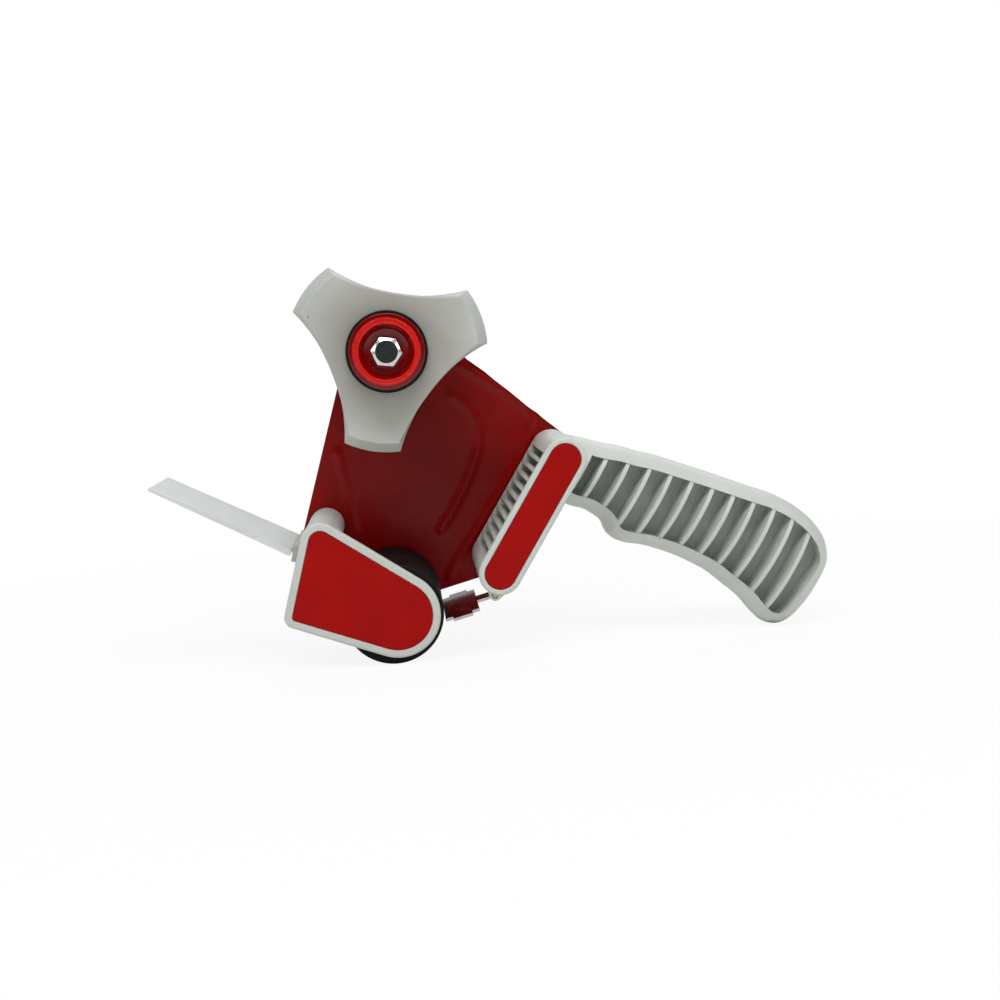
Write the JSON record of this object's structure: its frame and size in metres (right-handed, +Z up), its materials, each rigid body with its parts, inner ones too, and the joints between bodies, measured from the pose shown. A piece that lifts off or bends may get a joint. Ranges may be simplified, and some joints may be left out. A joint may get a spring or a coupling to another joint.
{
  "type": "hand-held packing tape dispenser",
  "caption": "Hand-held packing tape dispenser: steel side plate, three-lobed tape hub with brake knob, rubber roller, covered saw blade, wiper flap and ribbed pistol grip.",
  "frame": {"origin": "middle of the bounding box in X and Y, on the surface that the dispenser stands on", "axes": "+X from the wiper flap towards the grip, +Y from the cover side to the steel side plate, along all the axles, +Z up, with the dispenser standing on its roller and the end of its grip"},
  "size_m": [0.2606, 0.074, 0.1503],
  "materials": {
    "grey_plastic": "moulded light grey plastic, slight satin",
    "dark_grey_plastic": "moulded grey plastic",
    "pale_plastic": "smooth pale grey plastic",
    "cream_plastic": "cream plastic",
    "red_plastic": "bright red glossy moulded plastic",
    "red_paint": "dark red gloss enamel on pressed steel",
    "label_red": "plain red satin label, unprinted",
    "roller_rubber": "matt black rubber",
    "black_rubber": "matt black friction washer",
    "bright_steel": "bright zinc-plated steel",
    "chrome_plate": "mirror-bright plated steel sheet",
    "steel": "plain turned steel"
  },
  "bodies": {
    "frame": {"side_plate": "red_paint", "handle": "grey_plastic", "front_housing": "grey_plastic", "cover_label": "label_red", "bracket_label": "label_red", "flap_mount": "dark_grey_plastic", "blade": "bright_steel", "blade_screw_near": "bright_steel", "blade_screw_far": "bright_steel", "axle_sleeve": "steel", "axle_nut": "steel", "friction_washer": "black_rubber", "brake_spring": "bright_steel", "roller_axle": "bright_steel", "roller_axle_nut": "steel", "roller_spacer": "steel", "housing_screw_upper": "bright_steel", "housing_screw_lower": "bright_steel", "bracket_screw_upper": "bright_steel", "bracket_screw_lower": "bright_steel", "retainer_block": "cream_plastic", "retainer_pin": "bright_steel"},
    "hub": {"tape_hub": "grey_plastic"},
    "knob_carriage": {"thrust_washer": "steel"},
    "knob": {"knob": "red_plastic", "knob_bolt": "bright_steel"},
    "roller": {"roller_rubber": "roller_rubber", "roller_core": "pale_plastic"},
    "flap": {"wiper_flap": "pale_plastic"},
    "retainer": {"retainer_plate": "chrome_plate"}
  },
  "joints": [
    {"name": "hub_spin", "type": "hinge", "parent": "frame", "child": "hub", "pos_m": [-0.03854, -0.0264, 0.11772], "axis": [0, 1, 0], "continuous": true},
    {"name": "roller_spin", "type": "hinge", "parent": "frame", "child": "roller", "pos_m": [-0.04301, -0.0264, 0.0191], "axis": [0, 1, 0], "continuous": true},
    {"name": "knob_travel", "type": "slide", "parent": "frame", "child": "knob_carriage", "axis": [0, 1, 0], "range_m": [-0.001, 0.001], "deforming": ["brake_spring"]},
    {"name": "knob_turn", "type": "hinge", "parent": "knob_carriage", "child": "knob", "pos_m": [-0.03854, -0.0264, 0.11772], "axis": [0, 1, 0], "range_deg": [-360, 360]},
    {"name": "flap_hinge", "type": "hinge", "parent": "frame", "child": "flap", "pos_m": [-0.08032, -0.0264, 0.04552], "axis": [0, 1, 0], "range_deg": [-6, 20], "stiffness_Nm_per_rad": 0.3},
    {"name": "retainer_hinge", "type": "hinge", "parent": "frame", "child": "retainer", "pos_m": [-0.00341, -0.0264, 0.02089], "axis": [0, 1, 0], "range_deg": [-14, 0], "stiffness_Nm_per_rad": 0.03, "springref_deg": 5.73}
  ],
  "couplings": [
    {"joint": "knob_turn", "follows": "knob_travel", "rad_per_m": 6283.2}
  ]
}
